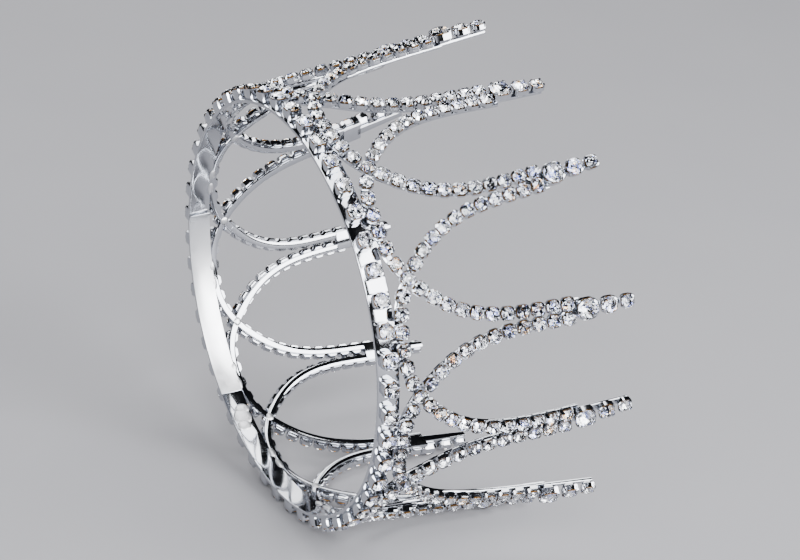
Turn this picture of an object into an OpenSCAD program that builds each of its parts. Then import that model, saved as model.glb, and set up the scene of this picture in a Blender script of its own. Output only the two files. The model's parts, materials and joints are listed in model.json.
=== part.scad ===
// Pageant crown: a round head band set with claw cups, with twelve crossing
// U-shaped strands of cup chain that rise in pairs to twelve prongs.
// The crown lies on its side, on two neighbouring prongs and the cups of its band.
// Lengths are in millimetres and angles in degrees.

/* [Band] */
// Inside radius of the head band
band_in_r = 61.5; // [58:0.5:66]
// Thickness of the band strip
band_t = 1; // [0.8:0.1:1.2]
// Height of the band strip
band_w = 6.8; // [6.6:0.1:8]
// Diameter of the stones on the band
band_stone_d = 4.1; // [3.6:0.1:4.6]
// Height of the middle of the band's cups above its rim
band_cup_z = 2.8; // [2.7:0.1:3]
// Height of the solid foot on which each of the band's cups stands
band_foot = 1; // [0.6:0.1:1.4]

/* [Strands] */
// Width of the metal strip of a strand
strip_w = 2; // [1.8:0.1:2.6]
// Thickness of the metal strip of a strand
strip_t = 0.9; // [0.7:0.1:1.2]
// Height of the crossings of the strands above the rim of the band
cross_z = 12.4; // [11.5:0.1:15]
// Width of the cup chain along a strand
chain_w = 3.9; // [3.5:0.1:4.1]
// Height of the cup chain above its strip
chain_h = 3.3; // [2.6:0.1:3.6]
// Height above the crossings at which the two arms of a prong run side by side
merge_h = 42; // [36:1:45]

/* [Prongs] */
// Angle at which the prongs spread from the axis of the crown
flare = 9; // [6:0.5:11]
// Height of the middle of the large tip stones above the rim of the band
tip_z = 61.6; // [58:0.2:66]
// Diameter of the large tip stones
large_d = 5.9; // [5.2:0.1:6.4]
// Diameter of the medium tip stones
medium_d = 4.6; // [4:0.1:5.2]
// Diameter of the small tip stones
small_d = 3.8; // [3.2:0.1:4.4]
// Gap between the cups at a prong's tip
tip_gap = 0.65; // [0.4:0.05:1]
// Thickness of the plate behind a prong's squared end and of its tongue
plate_t = 1; // [0.8:0.1:1.2]
// Width of the tongue that carries the tip cups, at its foot
tongue_w = 2.6; // [2:0.1:3.2]

/* [Settings] */
// Wall of a cup beside its stone
cup_wall = 0.35; // [0.3:0.05:0.5]
// Metal under the point of a stone
seat_floor = 0.9; // [0.7:0.1:1.2]
// Gap between a stone and its cup
seat_gap = 0.12; // [0.1:0.01:0.15]
// Gap between a claw and its stone
claw_gap = 0.25; // [0.15:0.05:0.3]

/* [Hidden] */
prongs = 12;
pitch = 360 / prongs;
cups_per_pitch = 4;
// Direction of the floor, counted in prongs: halfway between two of them
floor_at = 6.5;

// How far each prong has been bent: [prong, degrees inward, millimetres sideways at the tip]
BENT = [
    [1, 2, 3], [2, 7.5, 1], [3, 1.5, -1], [4, -1.5, 0], [5, -2, -5], [6, -1.5, -4.5],
    [7, 0, 0], [8, 0, 0], [9, 2, -1.5], [10, 0, 0], [11, 4, 4], [12, 2, 2]
];
INWARD = 1;
SIDEWAYS = 2;
// Shift along the floor that the bends give the middle of the crown
middle_y = -1.8;

// A cut stone's heights and table, as shares of its diameter
table_share = 0.56;
crown_share = 0.18;
girdle_share = 0.03;
point_share = 0.36;
stone_sides = 8;
// Height of the claws above the rim of their cup, as a share of the stone
claw_share = 0.15;

// Overlap of the lowest strand strips with the band's edge, where they are soldered
solder_lap = 0.3;
// Depth to which cups are let into the metal that carries them
cup_sink = 0.3;
// Gap between a cup chain and what lies beside it
chain_gap = 0.15;
// Height of a cup chain above the middle of its strip at the bottom of a U
chain_rise = 0.7;
// Height of the prongs' feet above the crossings, as a share of the strip's width
foot_share = 1.36;
// Steepness with which the arms of a prong draw together
merge_power = 3.6;
// Roundness of the bottom of a U
bottom_power = 2.6;
// Length of metal plate below a prong's squared end, and its length under the first tip cup
plate_h = 6;
plate_lap = 1.6;
// Depth of the plate and the tongue below the outside of the strips
plate_set = 0.15;
// Width of the tongue at its tip, as a share of its foot
tongue_tip_share = 0.65;
// Extra length by which a shape runs past the plane that trims it
trim = 1.5;
arc_fn = 180;
seat_fn = 24;

band_out_r = band_in_r + band_t;
band_mid_r = band_in_r + band_t / 2;
bottom_z = band_w + strip_w / 2 - solder_lap;
cut_z = cross_z + strip_w * foot_share;
arm_off = (chain_w + chain_gap) / 2;
chain_end_z = tip_z - cup_w(large_d) / 2 - chain_gap;
strip_end_z = tip_z - plate_lap;
medium_z = tip_z + (cup_w(large_d) / 2 + tip_gap + cup_w(medium_d) / 2) * cos(flare);
small_z = medium_z + (cup_w(medium_d) / 2 + tip_gap + cup_w(small_d) / 2) * cos(flare);
tongue_end_z = small_z + cup_w(small_d) / 3;
band_cups = prongs * cups_per_pitch;
far = band_in_r * 2;

// Sizes of a cup for a stone of diameter d
function point_h(d) = d * point_share;
function cup_w(d) = d + 2 * cup_wall;
function cup_h(d) = point_h(d) + seat_gap + seat_floor;
function claw_h(d) = cup_h(d) + d * claw_share;
function claw_w(d) = cup_w(d) / 2 - (d / 2 + claw_gap) / sqrt(2);

// Radius of the middle of the strand strips at height z
function cone_r(z) = band_mid_r + tan(flare) * (z - band_w);
// Share of the prong pitch between a prong's middle and one of its arms at height z
function side_share(z) = arm_off / (cone_r(z) * pitch * PI / 180);
function merging(z) = pow(max(0, 1 - (z - cross_z) / merge_h), merge_power);
function arm_share(z) = side_share(z) + (0.5 - side_share(z)) * merging(z);
// Height of the bottom of a U that begins at height low, at share u of the pitch from its middle
function bottom_at(u, low) = low + (cross_z - low) * pow(2 * abs(u), bottom_power);

function unit(v) = v / norm(v);
function outward(a) = [cos(flare) * cos(a), cos(flare) * sin(a), -sin(flare)];
function on_cone(a, z) = [cone_r(z) * cos(a), cone_r(z) * sin(a), z];

// Points of a U's middle line as [angle, height], from its left cut end to its right one
function stub(side) = [for (i = [0:2]) let (z = cut_z + trim - i * (cut_z + trim - cross_z) / 3)
    [side * pitch * (1 - arm_share(z)), z]];
function reversed(list) = [for (i = [len(list) - 1:-1:0]) list[i]];
bottom_steps = 12;
u_line = concat(
    stub(-1),
    [for (i = [0:bottom_steps]) let (u = i / bottom_steps - 0.5) [pitch * u, bottom_at(u, bottom_z)]],
    reversed(stub(1))
);
// How far round the crown prong i is swayed at height z
sway_rise = tip_z - cut_z;
function sway(i, z) = BENT[i - 1][SIDEWAYS] * pow(max(0, z - cut_z) / sway_rise, 2)
    / (cone_r(z) * PI / 180);
// Lean of its tip that comes with it
function sway_lean(i) = atan(2 * BENT[i - 1][SIDEWAYS] / sway_rise);
// Direction of a prong's arm from the middle of the crown, counted from the prong's own
function arm_at(i, side, z) = side * pitch * arm_share(z) + sway(i, z);
// Points of an arm's middle line, from below its cut to the squared end
arm_steps = 14;
function arm_line(i, side) = [for (k = [0:arm_steps])
    let (z = cut_z - trim + (strip_end_z - cut_z + trim) * pow(k / arm_steps, 1.4))
    [arm_at(i, side, z), z]];

// Outline of a strip of width w along a middle line, flat as seen from outside
function flat(line) = [for (p = line) [cone_r(p[1]) * sin(p[0]), p[1]]];
function along(pts, i) = unit(pts[min(i + 1, len(pts) - 1)] - pts[max(i - 1, 0)]);
function beside(pts, i, d) = pts[i] + d * [-along(pts, i)[1], along(pts, i)[0]];
function strip_outline(line, w) = let (pts = flat(line)) concat(
    [for (i = [0:len(pts) - 1]) beside(pts, i, w / 2)],
    [for (i = [len(pts) - 1:-1:0]) beside(pts, i, -w / 2)]
);

// Section of a cup chain: [across, outward] as shares of its width and height
CHAIN_SECTION = [
    [-0.5, 0.15], [-0.37, 0], [0.37, 0], [0.5, 0.15],
    [0.5, 0.65], [0.3, 1], [-0.3, 1], [-0.5, 0.65]
];
sides = len(CHAIN_SECTION);
function ring(p, t, n, widen) = let (s = cross(n, t)) [for (c = CHAIN_SECTION)
    p + s * c[0] * chain_w * widen + n * (strip_t / 2 + chain_gap + c[1] * chain_h)];
function side_faces(rings) = [for (i = [0:rings - 2]) for (j = [0:sides - 1])
    let (a = i * sides + j, b = i * sides + (j + 1) % sides, c = b + sides, d = a + sides)
    each [[a, b, c], [a, c, d]]];
function end_faces(rings) = [
    [for (j = [sides - 1:-1:0]) j],
    [for (j = [0:sides - 1]) (rings - 1) * sides + j]
];

// Lays the upright crown on its side: the lowest points of the band and of the prongs' tips,
// as [height, reach towards the floor], settle how far it tips
half_cup = pitch / cups_per_pitch / 2;
band_low = [band_cup_z - cup_w(band_stone_d) / 2,
    (band_out_r + band_foot + claw_h(band_stone_d)) * cos(half_cup)
    + cup_w(band_stone_d) / 2 * sin(half_cup)];
claw_top = strip_t / 2 + claw_h(large_d);
tip_low = [tip_z + cup_w(large_d) / 2 * cos(flare) - claw_top * sin(flare),
    (cone_r(tip_z) + claw_top * cos(flare) + cup_w(large_d) / 2 * sin(flare)) * cos(pitch / 2)
    + cup_w(large_d) / 2 * sin(pitch / 2)];
lie = atan((tip_low[1] - band_low[1]) / (tip_low[0] - band_low[0]));
rest_h = tip_low[1] * cos(lie) - tip_low[0] * sin(lie);
// Ends of the lying crown along X: the top of the band's rim and the tips that rest
base_x = band_low[0] * cos(lie) - band_low[1] * sin(lie);
tip_x = (small_z + cup_w(small_d) / 2 * cos(flare)) * cos(lie)
    + (cone_r(small_z) + strip_t) * cos(pitch / 2) * sin(lie);

module laid() {
    translate([-(base_x + tip_x) / 2, -middle_y, rest_h])
        rotate([0, 90 - lie, 0])
            rotate([0, 0, -floor_at * pitch])
                children();
}

// Turns what is built at angle zero to prong i, with the bend of that prong above the cut
module at_prong(i) {
    foot_r = cone_r(cut_z) * cos(pitch * arm_share(cut_z));
    rotate([0, 0, pitch * (i - 1)])
        translate([foot_r, 0, cut_z])
            rotate([0, -BENT[i - 1][INWARD], 0])
                translate([-foot_r, 0, -cut_z])
                    children();
}

// Sways the tip of prong i, with all that is built about its middle line
module swayed(i) {
    rotate([0, 0, sway(i, tip_z)])
        translate([0, 0, tip_z])
            rotate([-sway_lean(i), 0, 0])
                translate([0, 0, -tip_z])
                    children();
}

// Stands what is built on the XY plane on the outside of the strand strips at height z
module on_prong(z) {
    translate([cone_r(z), 0, z])
        rotate([0, 90 + flare, 0])
            translate([0, 0, strip_t / 2 - cup_sink])
                children();
}

// Pushes a flat outline outwards through the wall of the crown
module through_wall() {
    translate([band_in_r / 2, 0, 0])
        rotate([90, 0, 90])
            linear_extrude(band_in_r)
                children();
}

// A thin cone of thickness t that strips or plates are cut from, set below the strips' outside
module cone_wall(low, high, t, set) {
    out = strip_t / 2 - set;
    rotate_extrude($fn = arc_fn)
        polygon([
            [cone_r(low) + out - t, low], [cone_r(low) + out, low],
            [cone_r(high) + out, high], [cone_r(high) + out - t, high]
        ]);
}

// A square cup with a round seat and four corner claws, for a stone of diameter d,
// raised on a foot of its own width
module cup(d, foot = 0) {
    w = cup_w(d);
    open_w = w - 2 * claw_w(d);
    rim = foot + cup_h(d) + cup_sink;
    difference() {
        translate([-w / 2, -w / 2, 0])
            cube([w, w, foot + claw_h(d) + cup_sink]);
        translate([0, 0, cup_sink + foot + seat_floor])
            cylinder(d = d + 2 * seat_gap, h = rim, $fn = seat_fn);
        translate([-w, -open_w / 2, rim])
            cube([2 * w, open_w, w]);
        translate([-open_w / 2, -w, rim])
            cube([open_w, 2 * w, w]);
    }
}

// A cut stone with a flat table, a faceted crown and a point, seated in a cup on z = 0
module stone(d, foot = 0) {
    girdle_z = foot + cup_h(d) + cup_sink;
    step = 360 / stone_sides;
    points = concat(
        [[0, 0, girdle_z - point_h(d)]],
        [for (i = [0:stone_sides - 1]) [d / 2 * cos(i * step), d / 2 * sin(i * step), girdle_z]],
        [for (i = [0:stone_sides - 1])
            [d / 2 * cos(i * step), d / 2 * sin(i * step), girdle_z + d * girdle_share]],
        [for (i = [0:stone_sides - 1]) let (a = (i + 0.5) * step, r = d * table_share / 2)
            [r * cos(a), r * sin(a), girdle_z + d * (girdle_share + crown_share)]]
    );
    g = 1;
    c = g + stone_sides;
    t = c + stone_sides;
    faces = [
        for (i = [0:stone_sides - 1]) let (n = (i + 1) % stone_sides)
            each [
                [0, g + i, g + n],
                [g + i, c + i, c + n], [g + i, c + n, g + n],
                [c + i, t + i, c + n], [c + n, t + i, t + n]
            ],
        [for (i = [stone_sides - 1:-1:0]) t + i]
    ];
    polyhedron(points, faces, convexity = 2);
}

// Places children at each cup of the band, facing outwards
module round_the_band() {
    for (i = [0:band_cups - 1])
        rotate([0, 0, (i + 0.5) * pitch / cups_per_pitch])
            translate([band_out_r - cup_sink, 0, band_cup_z])
                rotate([0, 90, 0])
                    children();
}

// Head band with its cups, and the lowest arcs of the strands soldered on its edge
module base_band() {
    color("silver") laid() {
        rotate_extrude($fn = arc_fn)
            translate([band_in_r, 0])
                square([band_t, band_w]);
        round_the_band() cup(band_stone_d, band_foot);
        intersection() {
            cone_wall(bottom_z - strip_w, cut_z, strip_t, 0);
            for (i = [0:prongs - 1])
                rotate([0, 0, i * pitch])
                    through_wall() polygon(strip_outline(u_line, strip_w));
        }
    }
}

module band_stones() {
    color("azure") laid() round_the_band() stone(band_stone_d, band_foot);
}

// Two arms that draw together, the plate that joins them and the tongue with three cups
module prong(i) {
    plate_w = 2 * arm_off + strip_w * 0.9;
    color("silver") laid() difference() {
        at_prong(i) {
            intersection() {
                cone_wall(cut_z - trim, strip_end_z + trim, strip_t, 0);
                through_wall()
                    for (side = [-1, 1])
                        polygon(strip_outline(arm_line(i, side), strip_w));
            }
            swayed(i) {
                intersection() {
                    cone_wall(strip_end_z - plate_h - trim, tongue_end_z, plate_t, plate_set);
                    through_wall() {
                        translate([-plate_w / 2, strip_end_z - plate_h])
                            square([plate_w, plate_h]);
                        polygon([
                            [-tongue_w / 2, strip_end_z - 1], [tongue_w / 2, strip_end_z - 1],
                            [tongue_w * tongue_tip_share / 2, tongue_end_z],
                            [-tongue_w * tongue_tip_share / 2, tongue_end_z]
                        ]);
                    }
                }
                on_prong(tip_z) cup(large_d);
                on_prong(medium_z) cup(medium_d);
                on_prong(small_z) cup(small_d);
            }
        }
        translate([-far, -far, cut_z - 2 * trim])
            cube([2 * far, 2 * far, 2 * trim]);
    }
}

// Cup chains up both arms of a prong
chain_rings = 8;
module prong_chain(i) {
    heights = [for (k = [0:chain_rings - 1])
        cut_z + 0.1 + (chain_end_z - cut_z - 0.1) * pow(k / (chain_rings - 1), 1.25)];
    color("azure") laid() at_prong(i)
        for (side = [-1, 1]) {
            points = [for (z = heights) let (
                    a = arm_at(i, side, z),
                    up = on_cone(arm_at(i, side, z + 0.5), z + 0.5),
                    down = on_cone(arm_at(i, side, z - 0.5), z - 0.5))
                each ring(on_cone(a, z), unit(up - down), outward(a), 1)];
            polyhedron(points, concat(side_faces(chain_rings), end_faces(chain_rings)));
        }
}

// The cup chain round the bottom of each strand, from crossing to crossing
lower_steps = 6;
module lower_chain() {
    end_share = 0.5 - chain_gap / 2 / (cone_r(cross_z) * pitch * PI / 180);
    low = bottom_z + chain_rise;
    points = [for (k = [0:lower_steps]) let (
            u = 2 * end_share * (k / lower_steps - 0.5),
            at_end = k == 0 || k == lower_steps,
            du = 0.02,
            rise = at_end ? 0 : (bottom_at(u + du, low) - bottom_at(u - du, low)) / 2,
            run = cone_r(low) * pitch * PI / 180 * du,
            a = pitch * u,
            t = unit([-sin(a) * run, cos(a) * run, rise]),
            n = outward(a),
            straight = unit(t - n * (t * n)))
        each ring(on_cone(a, bottom_at(u, low)), straight, n, at_end ? 1.15 : 1)];
    color("azure") laid()
        for (i = [0:prongs - 1])
            rotate([0, 0, pitch * i])
                polyhedron(points, concat(side_faces(lower_steps + 1), end_faces(lower_steps + 1)));
}

module large_tip_stone(i) {
    color("azure") laid() at_prong(i) swayed(i) on_prong(tip_z) stone(large_d);
}

module medium_tip_stone(i) {
    color("azure") laid() at_prong(i) swayed(i) on_prong(medium_z) stone(medium_d);
}

module small_tip_stones() {
    color("azure") laid()
        for (i = [1:prongs]) at_prong(i) swayed(i) on_prong(small_z) stone(small_d);
}

base_band();
band_stones();
lower_chain();
small_tip_stones();
for (i = [1:prongs]) {
    prong(i);
    prong_chain(i);
    large_tip_stone(i);
    medium_tip_stone(i);
}
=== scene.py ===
"""Looks of a full-round pageant crown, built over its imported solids.

The crown is drawn upright and in millimetres, as its maker would hold it, with the rim of its band at
height zero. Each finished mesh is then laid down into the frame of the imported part, on its side.
"""

import json
import logging
import math
from abc import ABC, abstractmethod
from dataclasses import dataclass
from enum import Enum
from typing import Any, Iterable, Optional, Sequence

import bmesh
import bpy
from bmesh.types import BMesh, BMFace
from bpy.types import Material, Mesh, NodeTree
from mathutils import Matrix, Vector


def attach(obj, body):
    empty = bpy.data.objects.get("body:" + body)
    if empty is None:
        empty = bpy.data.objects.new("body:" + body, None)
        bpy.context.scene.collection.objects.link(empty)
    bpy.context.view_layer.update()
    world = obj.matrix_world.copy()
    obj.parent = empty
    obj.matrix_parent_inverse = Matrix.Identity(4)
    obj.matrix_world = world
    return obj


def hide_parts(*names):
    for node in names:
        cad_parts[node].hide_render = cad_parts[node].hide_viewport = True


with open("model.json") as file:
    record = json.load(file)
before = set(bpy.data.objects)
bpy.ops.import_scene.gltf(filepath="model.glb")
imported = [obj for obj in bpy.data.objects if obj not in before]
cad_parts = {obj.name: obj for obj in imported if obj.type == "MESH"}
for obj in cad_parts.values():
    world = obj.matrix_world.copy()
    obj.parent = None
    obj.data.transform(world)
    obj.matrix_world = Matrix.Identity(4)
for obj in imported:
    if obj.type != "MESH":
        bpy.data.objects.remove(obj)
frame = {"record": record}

log = logging.getLogger("crown")

MM = 0.001

# Sockets of a Mix node that mixes colours. Its other sockets share their names, so they go by number.
MIX_SHARE = 0
MIX_FROM = 6
MIX_TO = 7
MIX_RESULT = 2

Triple = tuple[float, float, float]


class Slot(Enum):
    """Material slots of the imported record."""

    METAL = "plated_metal"
    CHAIN = "cup_chain"
    CRYSTAL = "crystal"


class Side(Enum):
    """The two arms of a prong, seen from outside with the tips up."""

    LEFT = -1
    RIGHT = 1


class Layer(Enum):
    """Numbers of a stone's materials on its faces."""

    CRYSTAL = 0
    FOIL = 1
    LACQUER = 2


# Finishes


def linear(code: str) -> tuple[float, float, float, float]:
    """Turns an sRGB hex colour into linear light.

    Args:
        code: Six hex digits.

    Returns:
        Red, green, blue and alpha, from 0 to 1.
    """
    shares = [int(code[i : i + 2], 16) / 255 for i in (0, 2, 4)]
    red, green, painted_blue_glint = [s / 12.92 if s <= 0.04045 else ((s + 0.055) / 1.055) ** 2.4 for s in shares]
    return red, green, painted_blue_glint, 1.0


def per_metre(size_mm: float) -> float:
    """Scale of a pattern in metres whose cells are size_mm across."""
    return 1 / (size_mm * MM)


def add_node(
    tree: NodeTree, kind: str, inputs: Optional[dict[Any, Any]] = None, **settings: Any,
) -> bpy.types.Node:
    """Adds one node with its settings, values and links.

    Args:
        tree: The tree that gets the node.
        kind: The node's type.
        inputs: Values, or sockets to link from, by the name or number of the input.
        **settings: Properties of the node itself.

    Returns:
        The new node.
    """
    node = tree.nodes.new(kind)
    for name, value in settings.items():
        setattr(node, name, value)
    for name, value in (inputs or {}).items():
        if isinstance(value, bpy.types.NodeSocket):
            tree.links.new(value, node.inputs[name])
        else:
            node.inputs[name].default_value = value
    return node


class Finish(ABC):
    """A finish of the crown. Each kind draws its own surface, and this makes it a material."""

    name: str

    @abstractmethod
    def surface(self, tree: NodeTree) -> dict[str, Any]:
        """Draws the pattern of the surface.

        Args:
            tree: The material's tree, which gets the pattern's nodes.

        Returns:
            Values, or sockets to link from, by the name of the shader's input.
        """

    def material(self) -> Material:
        """Builds the material.

        Returns:
            The material, with the surface on its output.
        """
        made = bpy.data.materials.new(self.name)
        made.use_nodes = True
        tree = made.node_tree
        tree.nodes.clear()
        shader = add_node(tree, "ShaderNodeBsdfPrincipled", self.surface(tree))
        add_node(tree, "ShaderNodeOutputMaterial", {"Surface": shader.outputs["BSDF"]})
        return made


@dataclass(frozen=True)
class MottledFinish(Finish):
    """A finish whose tone and gloss drift in soft patches, over a surface with shallow waves.

    Tone and gloss are even where no patch_tone or patch_gloss is given, and it is flat without waves.
    Gloss is the shader's roughness. Detail and grain are the finer octaves of a pattern and their weight.
    """

    name: str
    tone: str
    gloss: float
    metallic: float = 1.0
    patch_tone: str = ""
    patch_gloss: float = 0.0
    patch_mm: float = 1.0
    patch_detail: float = 2.0
    patch_grain: float = 0.5
    patch_from: float = 0.0
    patch_to: float = 1.0
    wave_mm: float = 1.0
    wave_detail: float = 2.0
    wave_grain: float = 0.5
    wave_strength: float = 1.0
    wave_depth_mm: float = 0.0

    def surface(self, tree: NodeTree) -> dict[str, Any]:
        """Draws the patches and the waves.

        Args:
            tree: The material's tree.

        Returns:
            The shader's inputs.
        """
        place = add_node(tree, "ShaderNodeTexCoord").outputs["Object"]
        patches = add_node(
            tree, "ShaderNodeTexNoise",
            {"Vector": place, "Scale": per_metre(self.patch_mm), "Detail": self.patch_detail,
             "Roughness": self.patch_grain},
        ).outputs["Fac"]
        inputs = {"Base Color": linear(self.tone), "Metallic": self.metallic, "Roughness": self.gloss}
        if self.patch_tone:
            tones = {MIX_SHARE: patches, MIX_FROM: linear(self.tone), MIX_TO: linear(self.patch_tone)}
            tint = add_node(tree, "ShaderNodeMix", tones, data_type="RGBA")
            inputs["Base Color"] = tint.outputs[MIX_RESULT]
        if self.patch_gloss:
            spread = add_node(
                tree, "ShaderNodeMapRange",
                {"Value": patches, "From Min": self.patch_from, "From Max": self.patch_to,
                 "To Min": self.gloss, "To Max": self.patch_gloss},
            )
            inputs["Roughness"] = spread.outputs["Result"]
        if self.wave_depth_mm:
            waves = add_node(
                tree, "ShaderNodeTexNoise",
                {"Vector": place, "Scale": per_metre(self.wave_mm), "Detail": self.wave_detail,
                 "Roughness": self.wave_grain},
            )
            bump = add_node(
                tree, "ShaderNodeBump",
                {"Height": waves.outputs["Fac"], "Strength": self.wave_strength,
                 "Distance": self.wave_depth_mm * MM},
            )
            inputs["Normal"] = bump.outputs["Normal"]
        return inputs


@dataclass(frozen=True)
class RhodiumPlate(MottledFinish):
    """Bright rhodium plate over stamped white metal.

    The plate mirrors its surroundings with a cool, slightly grey tone. The strip under it was rolled and
    bent by hand, so the mirror is a little wavy, and handling leaves it hazy in patches.
    """

    name: str = "rhodium_plate"
    tone: str = "CBCDD2"
    gloss: float = 0.05
    patch_tone: str = "B4B7BE"
    patch_gloss: float = 0.12
    patch_mm: float = 7.0
    patch_detail: float = 3.0
    patch_grain: float = 0.6
    patch_from: float = 0.38
    patch_to: float = 0.72
    wave_mm: float = 4.0
    wave_detail: float = 1.5
    wave_strength: float = 0.35
    wave_depth_mm: float = 0.006


@dataclass(frozen=True)
class TinSolder(MottledFinish):
    """Silver-tin solder that was melted into a joint.

    It sets in soft lumps with a dull, frosted skin, whiter than the plate around it.
    """

    name: str = "tin_solder"
    tone: str = "D2D3D6"
    gloss: float = 0.2
    patch_gloss: float = 0.5
    patch_mm: float = 0.8
    patch_detail: float = 4.0
    patch_grain: float = 0.65
    wave_mm: float = 0.8
    wave_detail: float = 4.0
    wave_grain: float = 0.65
    wave_strength: float = 0.6
    wave_depth_mm: float = 0.12


@dataclass(frozen=True)
class GoldLacquer(MottledFinish):
    """Gold-brown lacquer that protects the silvering, seen from behind between cup and stone.

    It was dabbed on, so it is pale and glossy where it is thin, and brown and duller where it pooled.
    """

    name: str = "gold_lacquer"
    tone: str = "D09C55"
    gloss: float = 0.28
    metallic: float = 0.6
    patch_tone: str = "A9783A"
    patch_gloss: float = 0.45
    patch_mm: float = 1.1


@dataclass(frozen=True)
class PalePaper(MottledFinish):
    """Matt pale paper under the crown, with a faint unevenness in its tone."""

    name: str = "pale_paper"
    tone: str = "89898D"
    gloss: float = 0.85
    metallic: float = 0.0
    patch_tone: str = "85858A"
    patch_mm: float = 60.0


@dataclass(frozen=True)
class LeadCrystal(Finish):
    """Machine-cut lead crystal, the clear top of a rhinestone.

    Its facets are flat and sharp. Lead glass bends light more than window glass, so each facet shows
    another part of the silvered back.
    """

    name: str = "lead_crystal"
    tone: str = "FDFEFF"
    ior: float = 1.57

    def surface(self, tree: NodeTree) -> dict[str, Any]:
        """Gives the clear glass, which has no pattern of its own."""
        tone = linear(self.tone)
        return {"Base Color": tone, "Roughness": 0.0, "IOR": self.ior, "Transmission Weight": 1.0}


@dataclass(frozen=True)
class SilverFoil(Finish):
    """The silvered back of a rhinestone.

    The mirror throws light back through the crystal. The cut splits it into flashes of light, shade and
    faint colour. Here they are painted into the foil's colour, in cells about as coarse as a facet so that
    they show: most cells keep the foil's own mirror tone, some are painted shade and a few are painted
    cool or warm glints. Each cell also leans its own way, as the small facets near the point do.
    """

    name: str = "silver_foil_painted_flashes"
    flash_mm: float = 0.75
    # Tones of the painted flashes: painted shade, the foil's own mirror tone, and painted cool and warm
    # glints, each from its share of the cells.
    painted_shade_tone: str = "23262F"
    bright: str = "FAFBFF"
    painted_blue_glint: str = "C6CFFF"
    painted_amber_glint: str = "FFD9AC"
    bright_from: float = 0.17
    blue_from: float = 0.89
    amber_from: float = 0.97
    lean: float = 0.55
    roughness: float = 0.1

    def surface(self, tree: NodeTree) -> dict[str, Any]:
        """Draws the flashes, painted shade and painted glints among them, and the lean of each.

        Args:
            tree: The material's tree.

        Returns:
            The shader's inputs.
        """
        place = add_node(tree, "ShaderNodeTexCoord").outputs["Object"]
        cells = add_node(
            tree, "ShaderNodeTexVoronoi", {"Vector": place, "Scale": per_metre(self.flash_mm)},
        ).outputs["Color"]
        pick = add_node(tree, "ShaderNodeSeparateColor", {"Color": cells})
        # The ramp paints each cell as painted shade, the foil's own mirror tone, or a painted cool or warm
        # glint.
        ramp = add_node(tree, "ShaderNodeValToRGB", {"Fac": pick.outputs["Red"]})
        ramp.color_ramp.interpolation = "CONSTANT"
        stops = ramp.color_ramp.elements
        tones = (
            (0.0, self.painted_shade_tone), (self.bright_from, self.bright),
            (self.blue_from, self.painted_blue_glint), (self.amber_from, self.painted_amber_glint),
        )
        for i, (position, tone) in enumerate(tones):
            stop = stops[i] if i < len(stops) else stops.new(position)
            stop.position = position
            stop.color = linear(tone)
        facing = add_node(tree, "ShaderNodeNewGeometry").outputs["Normal"]
        facet = cells
        for operation, other in (
            ("SUBTRACT", {1: (0.5, 0.5, 0.5)}), ("SCALE", {"Scale": self.lean}),
            ("ADD", {1: facing}), ("NORMALIZE", {}),
        ):
            step = add_node(tree, "ShaderNodeVectorMath", {0: facet, **other}, operation=operation)
            facet = step.outputs["Vector"]
        return {
            "Base Color": ramp.outputs["Color"], "Metallic": 1.0, "Roughness": self.roughness,
            "Normal": facet,
        }


@dataclass(frozen=True)
class Finishes:
    """The crown's finished materials. Those of a stone stand in the order of Layer."""

    plate: Material
    cup: Material
    satin: Material
    solder: Material
    stone: tuple[Material, ...]


# Frames


def turned(degrees: float, axis: str = "Z") -> Matrix:
    """A turn about an axis through the origin."""
    return Matrix.Rotation(math.radians(degrees), 4, axis)


def moved(x: float, y: float, z: float) -> Matrix:
    """A move along all three axes."""
    return Matrix.Translation((x, y, z))


def framed(x: Vector, y: Vector, z: Vector, spot: Vector) -> Matrix:
    """Frame at a spot, from the directions of its three axes."""
    return Matrix.Translation(spot) @ Matrix((x, y, z)).transposed().to_4x4()


# Sizes


@dataclass(frozen=True)
class Bend:
    """How far a prong has been bent by hand: degrees inward and millimetres sideways at its tip."""

    inward: float = 0.0
    sideways: float = 0.0


BENDS = {
    1: Bend(2, 3), 2: Bend(7.5, 1), 3: Bend(1.5, -1), 4: Bend(-1.5, 0), 5: Bend(-2, -5),
    6: Bend(-1.5, -4.5), 7: Bend(), 8: Bend(), 9: Bend(2, -1.5), 10: Bend(), 11: Bend(4, 4), 12: Bend(2, 2),
}


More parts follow.
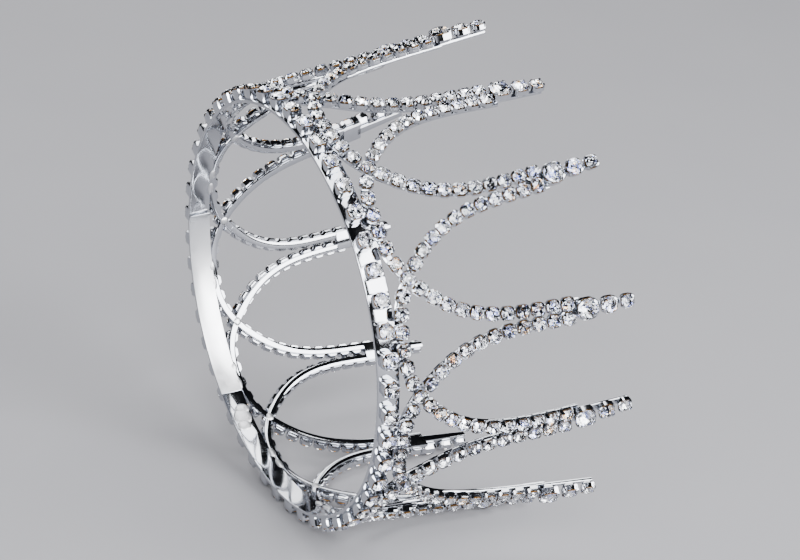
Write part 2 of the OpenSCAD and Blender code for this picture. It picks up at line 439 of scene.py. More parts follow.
@dataclass(frozen=True)
class CrownShape:
    """Driving sizes of the upright crown, in millimetres and degrees, and the lines its strands follow."""

    prongs: int = 12
    band_in_r: float = 61.5
    band_t: float = 1.0
    band_w: float = 6.8
    band_cup_z: float = 2.8
    strip_w: float = 2.0
    strip_t: float = 0.9
    bottom_z: float = 7.5
    chain_rise: float = 0.7
    cross_z: float = 12.4
    cut_z: float = 15.12
    arm_off: float = 2.025
    merge_h: float = 42.0
    merge_power: float = 3.6
    bottom_power: float = 2.6
    flare: float = 9.0
    tip_z: float = 61.6
    strip_end_z: float = 60.0

    @property
    def pitch(self) -> float:
        """Angle from prong to prong."""
        return 360 / self.prongs

    def wall_r(self, z: float) -> float:
        """Radius of the middle of the strands' strips at height z."""
        return self.band_in_r + self.band_t / 2 + math.tan(math.radians(self.flare)) * (z - self.band_w)

    def arm_share(self, z: float) -> float:
        """How far one arm of a prong stands from the prong's middle.

        Args:
            z: Height on the wall.

        Returns:
            The distance round the crown, as a share of the pitch.
        """
        side = self.arm_off / (self.wall_r(z) * math.radians(self.pitch))
        merging = max(0.0, 1 - (z - self.cross_z) / self.merge_h) ** self.merge_power
        return side + (0.5 - side) * merging

    def bottom_at(self, share: float, rise: float = 0.0) -> float:
        """Height of the bottom of a strand at a share of the pitch from its middle.

        Args:
            share: Share of the pitch.
            rise: Height at which the line begins above that of the strip.

        Returns:
            The height.
        """
        low = self.bottom_z + rise
        return low + (self.cross_z - low) * (2 * abs(share)) ** self.bottom_power

    def sway(self, prong: int, z: float) -> float:
        """How far round the crown, in degrees, a prong is swayed at height z."""
        rise = max(0.0, z - self.cut_z) / (self.tip_z - self.cut_z)
        return math.degrees(BENDS[prong].sideways * rise**2 / self.wall_r(z))

    def on_wall(self, turn: float, z: float) -> Vector:
        """Point in the middle of the strips' wall."""
        return turned(turn) @ Vector((self.wall_r(z), 0, z))

    def outward(self, turn: float) -> Vector:
        """Normal of the strips' wall."""
        return turned(turn) @ turned(self.flare, "Y") @ Vector((1, 0, 0))

    def prong_bend(self, prong: int) -> Matrix:
        """How a prong's inward bend, about its feet, moves what is drawn on the plain wall.

        Args:
            prong: Number of the prong.

        Returns:
            The move.
        """
        middle = turned(self.pitch * (prong - 1))
        foot_r = self.wall_r(self.cut_z) * math.cos(math.radians(self.pitch * self.arm_share(self.cut_z)))
        foot = moved(foot_r, 0, self.cut_z)
        lean = turned(-BENDS[prong].inward, "Y")
        return middle @ foot @ lean @ foot.inverted() @ middle.inverted()

    def tip_place(self, prong: int, z: float, lift: float) -> Matrix:
        """Frame on the middle line of a prong's tip: x across, y along and z out of the wall.

        Args:
            prong: Number of the prong.
            z: Height on the plain wall.
            lift: Distance out from the middle of the strips.

        Returns:
            The frame, with all of the prong's bends.
        """
        out = self.outward(0)
        across = Vector((0, 1, 0))
        flat = framed(across, out.cross(across), out, self.on_wall(0, z) + out * lift)
        tip = moved(0, 0, self.tip_z)
        tilt = -math.atan(2 * BENDS[prong].sideways / (self.tip_z - self.cut_z))
        tilted = tip @ Matrix.Rotation(tilt, 4, "X") @ tip.inverted()
        swayed = turned(self.pitch * (prong - 1)) @ turned(self.sway(prong, self.tip_z)) @ tilted
        return self.prong_bend(prong) @ swayed @ flat


class Track:
    """A line along the wall of the crown that a strip or a run of cups follows."""

    def __init__(self, shape: CrownShape, points: Sequence[tuple[float, float]], bend: Matrix) -> None:
        """Measures the line.

        Args:
            shape: The crown's sizes.
            points: Turn in degrees and height in millimetres of each point.
            bend: Moves the whole line.
        """
        self.shape = shape
        self.points = points
        self.bend = bend
        self.spots = [shape.on_wall(turn, z) for turn, z in points]
        self.marks = [0.0]
        for here, there in zip(self.spots, self.spots[1:]):
            self.marks.append(self.marks[-1] + (there - here).length)

    @property
    def length(self) -> float:
        """Length of the line in millimetres."""
        return self.marks[-1]

    def _heading(self, i: int) -> Vector:
        """Direction of the line at one of its points, from that point's neighbours."""
        near = self.spots[max(0, i - 1) : i + 2]
        return (near[-1] - near[0]).normalized()

    def place(self, distance: float, lift: float = 0.0) -> Matrix:
        """Frame on the line: x across it, y along it and z out of the wall.

        Args:
            distance: How far along the line, in millimetres.
            lift: Distance out from the middle of the strips.

        Returns:
            The frame, in the upright crown.
        """
        last = len(self.marks) - 2
        i = min(last, max(0, sum(mark <= distance for mark in self.marks) - 1))
        share = (distance - self.marks[i]) / (self.marks[i + 1] - self.marks[i])
        turn = self.points[i][0] + share * (self.points[i + 1][0] - self.points[i][0])
        spot = self.spots[i].lerp(self.spots[i + 1], share)
        out = self.shape.outward(turn)
        along = self._heading(i).lerp(self._heading(i + 1), share)
        along = (along - out * along.dot(out)).normalized()
        return self.bend @ framed(along.cross(out), along, out, spot + out * lift)

    def places(self, count: int, lift: float = 0.0) -> list[Matrix]:
        """Evenly spaced frames from one end of the line to the other."""
        return [self.place(self.length * i / (count - 1), lift) for i in range(count)]


def arm_track(shape: CrownShape, prong: int, side: Side, low: float, high: float) -> Track:
    """Line of one arm of a prong. Its points crowd towards the foot, where it curves most.

    Args:
        shape: The crown's sizes.
        prong: Number of the prong.
        side: Which of its arms.
        low: Height at which the line begins.
        high: Height at which it ends.

    Returns:
        The line, from the foot upwards.
    """
    steps = 60
    crowding = 1.3
    heights = [low + (high - low) * (i / steps) ** crowding for i in range(steps + 1)]
    middle = shape.pitch * (prong - 1)
    points = [
        (middle + side.value * shape.pitch * shape.arm_share(z) + shape.sway(prong, z), z) for z in heights
    ]
    return Track(shape, points, shape.prong_bend(prong))


def bottom_track(shape: CrownShape, strand: int, stubs: bool, rise: float = 0.0) -> Track:
    """Line round the bottom of a strand.

    Args:
        shape: The crown's sizes.
        strand: Number of the strand, which is that of the prong above its middle.
        stubs: Whether the line runs on past the crossings to where the prongs begin.
        rise: Height of the line above that of the strip at the bottom of the strand.

    Returns:
        The line, from left to right.
    """
    steps = 48
    stub_steps = 4
    middle = shape.pitch * (strand - 1)
    shares = [i / steps - 0.5 for i in range(steps + 1)]
    points = [(middle + shape.pitch * share, shape.bottom_at(share, rise)) for share in shares]
    if stubs:
        stub = (shape.cut_z - shape.cross_z) / stub_steps
        heights = [shape.cross_z + stub * i for i in range(1, stub_steps + 1)]
        past = [(shape.pitch * (1 - shape.arm_share(z)), z) for z in heights]
        points = [(middle - turn, z) for turn, z in reversed(past)] + points
        points += [(middle + turn, z) for turn, z in past]
    return Track(shape, points, Matrix.Identity(4))


# Shapes made with mesh operators


def bar_section(bm: BMesh, width: float, thick: float, lift: float = 0.0, edge: float = 0.0) -> BMFace:
    """Section of a flat strip in the xz plane.

    Args:
        bm: The mesh that gets the section.
        width: Size along x.
        thick: Size along z.
        lift: Height of the section's middle.
        edge: Rounding of its corners.

    Returns:
        The section's face.
    """
    place = moved(0, 0, lift) @ turned(90, "X") @ Matrix.Diagonal((width, thick, 1, 1))
    verts = bmesh.ops.create_grid(bm, x_segments=1, y_segments=1, size=0.5, matrix=place)["verts"]
    if edge:
        verts = bmesh.ops.bevel(
            bm, geom=verts, offset=edge, segments=2, profile=0.5, affect="VERTICES", material=-1,
        )["verts"]
    return verts[0].link_faces[0]


def draw_out(bm: BMesh, face: BMFace, end: bool = False) -> BMFace:
    """Extrudes one face by nothing, ready to be moved.

    Args:
        bm: The mesh that holds the face.
        face: The face.
        end: Whether the face stays where it is, as the closed end of a bar.

    Returns:
        The new face.
    """
    out = bmesh.ops.extrude_face_region(bm, geom=[face])
    if not end:
        bmesh.ops.delete(bm, geom=[face], context="FACES_ONLY")
    return next(g for g in out["geom"] if isinstance(g, BMFace))


def sweep(bm: BMesh, section: BMFace, places: Sequence[Matrix]) -> BMFace:
    """Draws a section along a row of frames, as a closed bar.

    Args:
        bm: The mesh that holds the section.
        section: A face, drawn for a frame at the origin.
        places: Frames along the bar.

    Returns:
        The face that closes the far end.
    """
    bmesh.ops.transform(bm, matrix=places[0], verts=section.verts[:])
    face = section
    for before, after in zip(places, places[1:]):
        face = draw_out(bm, face, end=face is section)
        bmesh.ops.transform(bm, matrix=after @ before.inverted(), verts=face.verts[:])
    return face


def bead(bm: BMesh, place: Matrix, size: Triple, detail: int = 2) -> None:
    """Adds a flattened drop of metal.

    Args:
        bm: The mesh that gets the drop.
        place: Frame at its middle.
        size: Its half sizes along the frame's axes.
        detail: How finely the drop is divided.
    """
    shape = place @ Matrix.Diagonal((*size, 1.0))
    bmesh.ops.create_icosphere(bm, subdivisions=detail, radius=1.0, matrix=shape)


def to_mesh(bm: BMesh, name: str, materials: Iterable[Material] = ()) -> Mesh:
    """Turns a bmesh, which is used up, into a mesh.

    Args:
        bm: The bmesh.
        name: Name of the mesh.
        materials: Its materials, in the order of their numbers on the faces.

    Returns:
        The mesh.
    """
    mesh = bpy.data.meshes.new(name)
    bm.to_mesh(mesh)
    bm.free()
    for material in materials:
        mesh.materials.append(material)
    return mesh


def add_object(name: str, data: bpy.types.ID) -> bpy.types.Object:
    """Adds an object to the scene, at the origin.

    Args:
        name: Its name.
        data: Its mesh, lamp or camera.

    Returns:
        The object.
    """
    made = bpy.data.objects.new(name, data)
    bpy.context.scene.collection.objects.link(made)
    return made


def stamp(bm: BMesh, pattern: Mesh, place: Matrix) -> None:
    """Adds a copy of a pattern piece.

    Args:
        bm: The mesh that gets the copy.
        pattern: The pattern piece.
        place: Frame that its origin is put on.
    """
    before = len(bm.verts)
    bm.from_mesh(pattern)
    bm.verts.ensure_lookup_table()
    bmesh.ops.transform(bm, matrix=place, verts=bm.verts[before:])


@dataclass(frozen=True)
class CutStone:
    """A round machine-cut stone: flat table, faceted crown, thin girdle and a pointed back.

    Its table, crown, girdle and point are shares of its diameter. A fine stone has a second row of
    crown facets, which meets the first at the waist, a share of the radius and of the crown's height.
    """

    diameter: float
    sides: int = 8
    table: float = 0.56
    crown: float = 0.18
    girdle: float = 0.03
    point: float = 0.36
    coat: float = 0.04
    waist: float = 0.84
    waist_at: float = 0.5
    fine: bool = False

    def pattern(self, finishes: Finishes) -> Mesh:
        """Builds the stone about the middle of its girdle's lower edge.

        Args:
            finishes: The crown's materials.

        Returns:
            A mesh with crystal in front, foil behind and lacquer over the foil.
        """
        bm = bmesh.new()
        radius = self.diameter / 2
        edge = self.girdle * self.diameter
        top = edge + self.crown * self.diameter
        step = 2 * math.pi / self.sides
        # For each ring of corners its radius, height and turn, and how many times the sides it has.
        rings = [(radius, 0.0, 0.0, 1), (radius, edge, 0.0, 1), (radius * self.table, top, step / 2, 1)]
        if self.fine:
            middle = edge + self.crown * self.diameter * self.waist_at
            rings = [
                (radius, 0.0, step / 4, 2), (radius, edge, step / 4, 2),
                (radius * self.waist, middle, 0.0, 1), (radius * self.table, top, step / 2, 1),
            ]
        for ring_r, height, turn, times in rings:
            place = moved(0, 0, height) @ Matrix.Rotation(turn, 4, "Z")
            bmesh.ops.create_circle(bm, segments=self.sides * times, radius=ring_r, matrix=place)
        bmesh.ops.create_vert(bm, co=(0, 0, -self.point * self.diameter))
        bmesh.ops.convex_hull(bm, input=bm.verts)
        bmesh.ops.dissolve_limit(bm, angle_limit=math.radians(1), verts=bm.verts, edges=bm.edges)
        bmesh.ops.recalc_face_normals(bm, faces=bm.faces)
        self._coat_back(bm)
        bmesh.ops.recalc_face_normals(bm, faces=bm.faces)
        return to_mesh(bm, "cut_stone", finishes.stone)

    def _coat_back(self, bm: BMesh) -> None:
        """Silvers the back of the stone and lays a closed film of lacquer over it.

        Args:
            bm: The mesh of the stone, whose faces point outwards.
        """
        facing_back = -0.1
        back = [face for face in bm.faces if face.normal.z < facing_back]
        for face in back:
            face.material_index = Layer.FOIL.value
        shell = bmesh.ops.duplicate(bm, geom=back)["geom"]
        film = [item for item in shell if isinstance(item, BMFace)]
        for face in film:
            face.material_index = Layer.LACQUER.value
        verts = list({vert for face in film for vert in face.verts})
        narrow = 1 - self.coat / (self.diameter / 2)
        bmesh.ops.scale(bm, vec=(narrow, narrow, 1), verts=verts)
        bmesh.ops.translate(bm, vec=(0, 0, -2 * self.coat), verts=verts)
        bmesh.ops.solidify(bm, geom=film, thickness=self.coat / 2)


@dataclass(frozen=True)
class ClawCup:
    """A stamped cup with a claw at each corner, which holds one round stone.

    The cup is square with cut corners, narrows towards its foot and has a round seat for the stone.
    Width, rim, claw and stone are the cup's width, the heights of its rim and of its claws, and the
    stone's diameter. Foot is a share of the width, taper and claw_from are shares of the rim's height, and
    seat and seat_depth are shares of the stone. A claw leans out at its splay and in at its knee, both at
    shares of its rise over the rim, and folds over the stone at its tip.
    """

    width: float
    rim: float
    claw: float
    stone: float
    corner: float = 0.24
    rounds: int = 1
    foot: float = 0.84
    taper: float = 0.35
    lip: float = 0.25
    seat: float = 0.485
    seat_drop: float = 0.1
    seat_depth: float = 0.37
    seat_narrow: float = 0.25
    claw_w: float = 0.9
    claw_t: float = 0.42
    claw_from: float = 0.55
    sunk: float = 0.3
    splay: float = 0.06
    splay_at: float = 0.3
    splay_lean: float = 10.0
    knee: bool = False
    knee_in: float = 0.3
    knee_at: float = 0.75
    knee_lean: float = 42.0
    knee_w: float = 0.95
    grip: float = 0.5
    tip_drop: float = 0.4
    tip_lean: float = 68.0
    tip_w: float = 0.8
    stand_out: float = 0.0

    def pattern(self) -> Mesh:
        """Builds the cup, standing on z = 0.

        Returns:
            A mesh without materials.
        """
        bm = bmesh.new()
        narrow = self.width * self.foot
        place = Matrix.Diagonal((narrow, narrow, 1, 1))
        verts = bmesh.ops.create_grid(bm, x_segments=1, y_segments=1, size=0.5, matrix=place)["verts"]
        cut = bmesh.ops.bevel(
            bm, geom=verts, offset=narrow * self.corner, segments=self.rounds, profile=0.5,
            affect="VERTICES", material=-1,
        )
        wide = Matrix.Diagonal((1 / self.foot, 1 / self.foot, 1, 1))
        steps = [Matrix.Identity(4)]
        steps += [moved(0, 0, height) @ wide for height in (self.rim * self.taper, self.rim)]
        self._sink_seat(bm, sweep(bm, cut["verts"][0].link_faces[0], steps))
        for corner in range(4):
            self._claw(bm, 45 + 90 * corner)
        bmesh.ops.recalc_face_normals(bm, faces=bm.faces)
        return to_mesh(bm, "claw_cup")

    def _sink_seat(self, bm: BMesh, top: BMFace) -> None:
        """Opens the closed top of the cup to a round hollow that narrows under the stone.

        Args:
            bm: The mesh of the cup.
            top: The face that closes it.
        """
        bmesh.ops.inset_region(bm, faces=[top], thickness=self.lip)
        height = self.rim - self.seat_drop
        for vert in top.verts:
            flat = Vector((vert.co.x, vert.co.y, 0)).normalized() * self.stone * self.seat
            vert.co = (flat.x, flat.y, height)
        floor = moved(0, 0, height - self.stone * self.seat_depth)
        narrow = Matrix.Diagonal((self.seat_narrow, self.seat_narrow, 0, 1))
        bmesh.ops.transform(bm, matrix=floor @ narrow, verts=draw_out(bm, top).verts[:])

    def _claw(self, bm: BMesh, turn: float) -> None:
        """Adds the claw at one corner, which rises beside the stone and folds over its edge.

        Args:
            bm: The mesh of the cup.
            turn: Angle of the corner.
        """
        reach = self.width * (1 - self.corner) / math.sqrt(2) - self.claw_t * self.sunk + self.stand_out
        rise = self.claw - self.rim
        stations = [
            (0.0, self.rim * self.claw_from, 0.0, 1.0),
            (self.splay, self.rim + rise * self.splay_at, self.splay_lean, 1.0),
        ]
        if self.knee:
            height = self.rim + rise * self.knee_at
            stations.append((-self.grip * self.knee_in, height, self.knee_lean, self.knee_w))
        stations.append((-self.grip, self.claw - self.claw_t * self.tip_drop, self.tip_lean, self.tip_w))
        # Swaps the axes round, so that the bar's length stands up and its thickness faces outwards.
        stand = Matrix.Rotation(math.radians(120), 4, Vector((1, 1, 1)))
        places = []
        for shift, height, lean, share in stations:
            place = turned(turn) @ moved(reach + shift, 0, height) @ turned(-lean, "Y") @ stand
            places.append(place @ Matrix.Diagonal((share, 1, share, 1)))
        sweep(bm, bar_section(bm, self.claw_w, self.claw_t), places)


class SettingStamp:
    """Patterns of a claw cup and of the stone in it, which are stamped together."""

    def __init__(self, cup: ClawCup, stone: CutStone, girdle_z: float, finishes: Finishes) -> None:
        """Builds both patterns.

        Args:
            cup: The cup.
            stone: The stone.
            girdle_z: Height of the stone's girdle over the foot of the cup.
            finishes: The crown's materials.
        """
        self.cup = cup.pattern()
        self.stone = stone.pattern(finishes)
        self.girdle_z = girdle_z

    def press(self, metal: BMesh, stones: BMesh, place: Matrix, turn: float) -> None:
        """Adds one cup with its stone.

        Args:
            metal: Mesh that gets the cup.
            stones: Mesh that gets the stone.
            place: Frame at the middle of the cup's foot, with z out of the cup.
            turn: How far the stone is turned in its seat.
        """
        stamp(metal, self.cup, place)
        stamp(stones, self.stone, place @ moved(0, 0, self.girdle_z) @ turned(turn))


# Pieces


@dataclass(frozen=True)
class Workshop:
    """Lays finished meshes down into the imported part's frame and hands them to it.

    The crown lies turned by rest_turn about its axis. Edges sharper than sharp are shaded as edges.
    """

    shape: CrownShape
    finishes: Finishes
    rest_turn: float = 195.0
    sharp: float = 35.0

    def laid(self) -> Matrix:
        """The move from the upright crown to where it lies.

        Returns:
            The move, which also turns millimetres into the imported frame's metres.
        """
        bore = frame["record"]["mounts"][0]
        up = -Vector(bore["axis"]).normalized()
        side = Vector((0, 1, 0))
        rim = Vector(bore["pos_m"]) - up * self.shape.band_w / 2 * MM
        return framed(side.cross(up), side, up, rim) @ turned(-self.rest_turn) @ Matrix.Scale(MM, 4)

    def finish(
        self, bm: BMesh, name: str, slot: Slot, materials: Iterable[Material],
        nodes: Iterable[str] = (), smooth: bool = True,
    ) -> None:
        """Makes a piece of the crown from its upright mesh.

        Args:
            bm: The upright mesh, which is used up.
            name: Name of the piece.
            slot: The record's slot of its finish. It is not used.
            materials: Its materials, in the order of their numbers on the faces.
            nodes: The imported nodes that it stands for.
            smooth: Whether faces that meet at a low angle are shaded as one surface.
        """
        bmesh.ops.transform(bm, matrix=self.laid(), verts=bm.verts[:])
        if smooth:
            bmesh.ops.recalc_face_normals(bm, faces=bm.faces[:])
            for edge in bm.edges:
                edge.smooth = edge.is_manifold and edge.calc_face_angle() < math.radians(self.sharp)
        for face in bm.faces:
            face.smooth = smooth
        piece = add_object(name, to_mesh(bm, name, materials))
        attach(piece, "root")
        if nodes:
            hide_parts(*nodes)
        log.info("%s: %d faces", name, len(piece.data.polygons))

    def finish_stones(self, bm: BMesh, name: str, nodes: Iterable[str] = ()) -> None:
        """Makes a piece of stones, whose facets stay sharp."""
        self.finish(bm, name, Slot.CRYSTAL, self.finishes.stone, nodes, smooth=False)


@dataclass(frozen=True)
class SolderDrop:
    """A drop in a blob of solder: its turn from the blob's middle, its height and its half sizes."""

    turn: float
    z: float
    size: Triple


@dataclass(frozen=True)
class HeadBand:
    """The plain strip that sits on the head, with the joint where its ends were closed.

    The joining plate's far end is turned up by the lip, over the last lip_run degrees. No corner is
    rounded by more than the share blunt of its wall.
    """

    shop: Workshop
    edge: float = 0.22
    blunt: float = 0.3
    steps: int = 240
    joint_from: float = 235.0
    joint_to: float = 289.8
    joint_t: float = 0.3
    joint_w: float = 6.9
    lip: float = 0.9
    lip_run: float = 2.2
    solder_turn: float = 226.6
    drops: tuple[SolderDrop, ...] = (
        SolderDrop(0.0, 3.6, (3.1, 2.9, 0.5)),
        SolderDrop(-2.6, 3.0, (2.2, 2.2, 0.42)),
        SolderDrop(2.4, 4.4, (2.0, 2.3, 0.45)),
    )

    def build(self) -> None:
        """Makes the band, its joining plate and the solder beside it."""
        shape = self.shop.shape
        finishes = self.shop.finishes
        bm = self._spun_bar(shape.band_in_r + shape.band_t / 2, shape.band_t, shape.band_w, 0.0, 360.0)
        self.shop.finish(bm, "head_band", Slot.METAL, [finishes.plate], ["base_band"])
        radius = shape.band_in_r - self.joint_t / 2
        bm = self._spun_bar(radius, self.joint_t, self.joint_w, self.joint_from, self.joint_to)
        self._turn_up_lip(bm)
        self.shop.finish(bm, "joining_plate", Slot.METAL, [finishes.satin])
        bm = bmesh.new()
        for drop in self.drops:
            place = turned(self.solder_turn + drop.turn) @ moved(shape.band_in_r, 0, drop.z)
            bead(bm, place @ turned(90, "Y") @ turned(90), drop.size, detail=3)
        self.shop.finish(bm, "band_solder", Slot.METAL, [finishes.solder])

    def _spun_bar(self, radius: float, thick: float, height: float, low: float, high: float) -> BMesh:
        """Spins a rounded section round the crown's axis.

        Args:
            radius: Radius of the middle of the bar's wall.
            thick: Thickness of its wall.
            height: Size along the axis.
            low: Angle at which it begins.
            high: Angle at which it ends.

        Returns:
            The bar, closed at its ends or all the way round.
        """
        bm = bmesh.new()
        rounding = min(self.edge, thick * self.blunt)
        face = bar_section(bm, thick, height, self.shop.shape.band_w / 2, rounding)
        bmesh.ops.transform(bm, matrix=turned(low) @ moved(radius, 0, 0), verts=bm.verts[:])
        whole = high - low >= 360
        if whole:
            bmesh.ops.delete(bm, geom=[face], context="FACES_ONLY")
        bmesh.ops.spin(
            bm, geom=bm.verts[:] + bm.edges[:] + bm.faces[:], cent=(0, 0, 0), axis=(0, 0, 1),
            angle=math.radians(high - low), steps=round(self.steps * (high - low) / 360), use_merge=whole,
        )
        return bm

    def _turn_up_lip(self, bm: BMesh) -> None:
        """Bends the far end of the joining plate away from the band.

        Args:
            bm: The mesh of the plate.
        """
        for vert in bm.verts:
            turn = math.degrees(math.atan2(vert.co.y, vert.co.x)) % 360
            past = max(0.0, turn - (self.joint_to - self.lip_run)) / self.lip_run
            vert.co -= Vector((vert.co.x, vert.co.y, 0)).normalized() * self.lip * past**2


@dataclass(frozen=True)
class BandSettings:
    """The row of stones in raised claw cups round the outside of the band.

    The cups are sunk a little into the band. The stones were dropped in as they came, so each is turned
    on by turn_step from the one before.
    """

    shop: Workshop
    per_prong: int = 4
    stone: CutStone = CutStone(4.6, fine=True)
    cup: ClawCup = ClawCup(4.75, rim=3.05, claw=4.1, stone=4.6, rounds=2, knee=True, foot=0.88)
    girdle_z: float = 3.36
    sunk: float = 0.05
    turn_step: float = 37.0

    def build(self) -> None:
        """Makes all the cups as one piece and all the stones as another."""
        shape = self.shop.shape
        setting = SettingStamp(self.cup, self.stone, self.girdle_z, self.shop.finishes)
        cups = bmesh.new()
        stones = bmesh.new()
        step = shape.pitch / self.per_prong
        foot = moved(shape.band_in_r + shape.band_t - self.sunk, 0, shape.band_cup_z) @ turned(90, "Y")
        for i in range(shape.prongs * self.per_prong):
            setting.press(cups, stones, turned((i + 0.5) * step) @ foot, self.turn_step * i)
        self.shop.finish(cups, "band_cups", Slot.METAL, [self.shop.finishes.cup])
        self.shop.finish_stones(stones, "band_crystals", ["band_stones"])


@dataclass(frozen=True)
class CupChain:
    """Small stones in claw cups, joined by short links, along the outside of the strands.

    A link laps over the two cups that it joins, by link_lap in all.
    """

    shop: Workshop
    pitch: float = 4.5
    lift: float = 0.5
    stone: CutStone = CutStone(4.05)
    cup: ClawCup = ClawCup(4.05, rim=1.8, claw=3.0, stone=4.05)
    girdle_z: float = 2.25
    turn_step: float = 53.0
    link_w: float = 1.1
    link_t: float = 0.35
    link_z: float = 0.35
    link_lap: float = 0.5
    last_z: float = 56.2
    bottom_stones: int = 6

    def build(self) -> None:
        """Makes the runs of every prong, then those round the bottoms of the strands."""
        shape = self.shop.shape
        setting = SettingStamp(self.cup, self.stone, self.girdle_z, self.shop.finishes)
        for prong in range(1, shape.prongs + 1):
            tracks = [arm_track(shape, prong, side, shape.cross_z, self.last_z) for side in Side]
            counts = [round(track.length / self.pitch) for track in tracks]
            self._runs(setting, tracks, counts, f"prong_{prong}_chain", f"prong_chain_{prong}")
        tracks = [
            bottom_track(shape, strand, stubs=False, rise=shape.chain_rise)
            for strand in range(1, shape.prongs + 1)
        ]
        counts = [self.bottom_stones + 1] * len(tracks)
        self._runs(setting, tracks, counts, "lower_chain", "lower_chain")

    def _runs(
        self, setting: SettingStamp, tracks: Sequence[Track], counts: Sequence[int], name: str, node: str,
    ) -> None:
        """Makes the cups, links and stones of one packed chain node.

        Args:
            setting: Patterns of the cup and its stone.
            tracks: The line of each run. The cup where it begins belongs to another run.
            counts: How many cups stand on each line.
            name: Name that the two pieces begin with.
            node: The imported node.
        """
        cups = bmesh.new()
        stones = bmesh.new()
        for track, count in zip(tracks, counts):
            gap = track.length / count
            length = gap - self.cup.width + self.link_lap
            link = moved(0, 0, self.link_z) @ Matrix.Diagonal((self.link_w, length, self.link_t, 1))
            for i in range(count):
                mark = track.length * (i + 1) / count
                setting.press(cups, stones, track.place(mark, self.lift), self.turn_step * i)
                middle = track.place(mark - gap / 2, self.lift)
                bmesh.ops.create_cube(cups, size=1.0, matrix=middle @ link)
        self.shop.finish(cups, f"{name}_cups", Slot.CHAIN, [self.shop.finishes.cup], [node])
        self.shop.finish_stones(stones, f"{name}_crystals")


@dataclass(frozen=True)
class Strands:
    """The U-shaped strips of the crown: their bottoms on the band, and the solder that holds them.

    Neighbouring strips are shifted apart a little, so that they share no face where they cross. Each
    bottom is held by seams, at shares of its length, and each crossing by one bead.
    """

    shop: Workshop
    edge: float = 0.18
    shift: float = 0.02
    steps: int = 44
    crossing_bead: Triple = (1.3, 1.4, 0.4)
    seams: tuple[tuple[float, Triple], ...] = ((0.42, (1.0, 2.2, 0.35)), (0.57, (1.1, 1.9, 0.4)))
    seam_off: float = 0.8

    def build(self) -> None:
        """Makes the bottoms of all strands and the solder at their joints."""
        shape = self.shop.shape
        strips = bmesh.new()
        solder = bmesh.new()
        for strand in range(1, shape.prongs + 1):
            lift = self.shift if strand % 2 else -self.shift
            track = bottom_track(shape, strand, stubs=True)
            section = bar_section(strips, shape.strip_w, shape.strip_t, edge=self.edge)
            sweep(strips, section, track.places(self.steps, lift))
            track = bottom_track(shape, strand, stubs=False)
            inside = -shape.strip_t / 2
            bead(solder, track.place(track.length, inside), self.crossing_bead)
            for share, size in self.seams:
                seam = track.place(track.length * share, inside) @ moved(self.seam_off, 0, 0)
                bead(solder, seam, size)
        self.shop.finish(strips, "strand_bottoms", Slot.METAL, [self.shop.finishes.plate])
        self.shop.finish(solder, "joint_solder", Slot.METAL, [self.shop.finishes.solder])


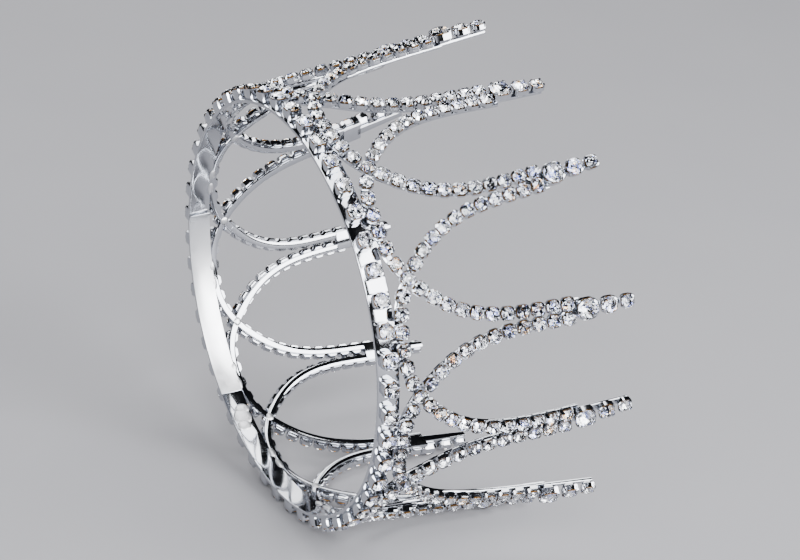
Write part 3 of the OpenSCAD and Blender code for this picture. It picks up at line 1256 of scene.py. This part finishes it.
@dataclass(frozen=True)
class Prongs:
    """The arms, end plates, tongues and tip settings of the prongs.

    Tips holds the height and the diameter of each tip setting, the largest first. Fill is the share of
    that diameter that the stone has. Its point stands about point_z over the cup's foot, and the rim is
    rim_below under its girdle. Claw_above and claw_share are shares of the diameter as well.
    """

    shop: Workshop
    edge: float = 0.18
    plate_t: float = 1.0
    plate_set: float = 0.15
    plate_h: float = 6.0
    plate_cover: float = 0.9
    plate_steps: int = 4
    tongue_w: float = 2.6
    tongue_tip: float = 1.7
    tongue_root: float = 1.0
    tongue_end_z: float = 75.1
    tongue_steps: int = 8
    tips: tuple[tuple[float, float], ...] = ((61.6, 5.9), (68.119, 4.6), (73.6, 3.8))
    fine_from: float = 4.0
    sunk: float = 0.05
    wall: float = 0.12
    fill: float = 1.04
    point_z: float = 1.02
    rim_below: float = 0.25
    claw_above: float = 0.15
    claw_w: float = 0.5
    claw_share: float = 0.1
    stand_out: float = 0.2
    turn_step: float = 41.0
    tip_turn_step: float = 17.0
    steps: int = 36

    def build(self) -> None:
        """Makes every prong with its settings, then the smallest stones of all prongs as one piece."""
        shape = self.shop.shape
        settings = [self._tip_setting(diameter) for _, diameter in self.tips]
        small = bmesh.new()
        for prong in range(1, shape.prongs + 1):
            metal = bmesh.new()
            self._strips(metal, prong)
            large = bmesh.new()
            for i, (z, _) in enumerate(self.tips):
                place = shape.tip_place(prong, z, shape.strip_t / 2 - self.sunk)
                stones = small if i == len(self.tips) - 1 else large
                turn = self.turn_step * prong + self.tip_turn_step * i
                settings[i].press(metal, stones, place, turn)
            name = f"prong_{prong}"
            self.shop.finish(metal, f"{name}_frame", Slot.METAL, [self.shop.finishes.plate], [name])
            nodes = [f"large_tip_stone_{prong}", f"medium_tip_stone_{prong}"]
            self.shop.finish_stones(large, f"{name}_tip_crystals", nodes)
        self.shop.finish_stones(small, "small_tip_crystals", ["small_tip_stones"])

    def _tip_setting(self, diameter: float) -> SettingStamp:
        """Builds the patterns of one size of tip setting.

        Args:
            diameter: Its diameter.

        Returns:
            The patterns.
        """
        stone = CutStone(diameter * self.fill, fine=diameter > self.fine_from)
        girdle = diameter * stone.point + self.point_z
        cup = ClawCup(
            diameter + 2 * self.wall, rim=girdle - self.rim_below, claw=girdle + diameter * self.claw_above,
            stone=stone.diameter, corner=0.29, rounds=2, foot=0.7, knee=True,
            claw_w=self.claw_w + diameter * self.claw_share, grip=diameter * self.claw_share,
            stand_out=self.stand_out,
        )
        return SettingStamp(cup, stone, girdle, self.shop.finishes)

    def _strips(self, bm: BMesh, prong: int) -> None:
        """Draws the two arms, the plate behind their squared ends and the tongue.

        Args:
            bm: The mesh that gets them.
            prong: Number of the prong.
        """
        shape = self.shop.shape
        for side in Side:
            track = arm_track(shape, prong, side, shape.cut_z, shape.strip_end_z)
            section = bar_section(bm, shape.strip_w, shape.strip_t, edge=self.edge)
            sweep(bm, section, track.places(self.steps))
        middle = shape.strip_t / 2 - self.plate_set - self.plate_t / 2
        end_z = shape.strip_end_z
        root_z = end_z - self.tongue_root
        plate_w = 2 * shape.arm_off + shape.strip_w * self.plate_cover
        for width, tip_w, low, high, steps in (
            (plate_w, plate_w, end_z - self.plate_h, end_z, self.plate_steps),
            (self.tongue_w, self.tongue_tip, root_z, self.tongue_end_z, self.tongue_steps),
        ):
            section = bar_section(bm, width, self.plate_t, middle, self.edge)
            places = []
            for i in range(steps + 1):
                place = shape.tip_place(prong, low + (high - low) * i / steps, 0.0)
                narrow = 1 + (tip_w / width - 1) * i / steps
                places.append(place @ Matrix.Diagonal((narrow, 1, 1, 1)))
            sweep(bm, section, places)


# Studio


@dataclass(frozen=True)
class SoftBox:
    """A large soft lamp. Its place, size and aim are in metres."""

    name: str
    place: Triple
    size: tuple[float, float]
    watts: float
    aim: Triple = (0.0, 0.0, 0.07)
    tone: str = "FFFFFF"

    def build(self) -> None:
        """Hangs the lamp and turns it to its aim."""
        lamp = bpy.data.lights.new(self.name, "AREA")
        lamp.shape = "RECTANGLE"
        lamp.size, lamp.size_y = self.size
        lamp.energy = self.watts
        lamp.color = linear(self.tone)[:3]
        held = add_object(self.name, lamp)
        held.location = self.place
        held.rotation_euler = (Vector(self.aim) - Vector(self.place)).to_track_quat("-Z", "Y").to_euler()


@dataclass(frozen=True)
class Studio:
    """A pale floor, soft lamps and the camera of the photograph, in metres."""

    paper: PalePaper = PalePaper()
    floor_size: float = 5.0
    floor_z: float = -0.0002
    room_tone: str = "8E939E"
    room_light: float = 0.03
    sensor_mm: float = 36.0
    lens_mm: float = 129.94
    camera_at: Triple = (-0.41108, -0.67447, 0.4092)
    camera_aim: Triple = (0.00132, 0.0003, 0.07232)
    camera_roll: float = 7.048
    boxes: tuple[SoftBox, ...] = (
        SoftBox("front_box", (0.66, -1.0, 0.7), (1.3, 1.15), 60.0),
        SoftBox("key_box", (-0.75, -0.95, 1.0), (0.8, 0.6), 14.0),
        SoftBox("top_box", (0.1, 0.15, 1.4), (0.9, 0.9), 16.0),
        SoftBox("back_box", (0.2, 1.3, 0.75), (1.4, 0.6), 10.0),
        SoftBox("left_box", (-1.3, 0.45, 0.5), (0.4, 0.5), 6.0),
        SoftBox("eye_box", (-0.5, -0.95, 0.7), (0.6, 0.45), 16.0),
    )

    def build(self) -> None:
        """Sets up the floor, the room, the lamps and the camera."""
        self._floor()
        self._room()
        for box in self.boxes:
            box.build()
        self._camera()

    def _floor(self) -> None:
        """Lays the floor just under the crown."""
        bm = bmesh.new()
        bmesh.ops.create_grid(bm, x_segments=2, y_segments=2, size=self.floor_size / 2)
        floor = add_object("floor", to_mesh(bm, "floor", [self.paper.material()]))
        floor.location.z = self.floor_z

    def _room(self) -> None:
        """Fills the room with even, dim light."""
        world = bpy.data.worlds.new("room")
        world.use_nodes = True
        tree = world.node_tree
        tree.nodes.clear()
        light = {"Color": linear(self.room_tone), "Strength": self.room_light}
        glow = add_node(tree, "ShaderNodeBackground", light)
        add_node(tree, "ShaderNodeOutputWorld", {"Surface": glow.outputs["Background"]})
        bpy.context.scene.world = world

    def _camera(self) -> None:
        """Puts the camera where the photograph was taken from."""
        lens = bpy.data.cameras.new("camera")
        lens.sensor_width = self.sensor_mm
        lens.lens = self.lens_mm
        lens.clip_start = 0.01
        line = Vector(self.camera_aim) - Vector(self.camera_at)
        aimed = line.to_track_quat("-Z", "Y").to_matrix().to_4x4() @ turned(self.camera_roll)
        held = add_object("camera", lens)
        held.matrix_world = moved(*self.camera_at) @ aimed
        bpy.context.scene.camera = held


def main() -> None:
    """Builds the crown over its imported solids, then the studio."""
    logging.basicConfig(level=logging.INFO, format="%(message)s")
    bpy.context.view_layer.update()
    stamped = RhodiumPlate(name="stamped_rhodium_plate", gloss=0.08, patch_gloss=0.18, wave_mm=1.2)
    satin = RhodiumPlate(
        name="satin_rhodium_plate", tone="F2F3F6", patch_tone="E6E8EC", gloss=0.3, patch_gloss=0.42,
    )
    finishes = Finishes(
        plate=RhodiumPlate().material(),
        cup=stamped.material(),
        satin=satin.material(),
        solder=TinSolder().material(),
        stone=(LeadCrystal().material(), SilverFoil().material(), GoldLacquer().material()),
    )
    shop = Workshop(CrownShape(), finishes)
    for part in (HeadBand(shop), BandSettings(shop), Strands(shop), CupChain(shop), Prongs(shop)):
        log.info("building %s", type(part).__name__)
        part.build()
    Studio().build()


if __name__ == "__main__":
    main()
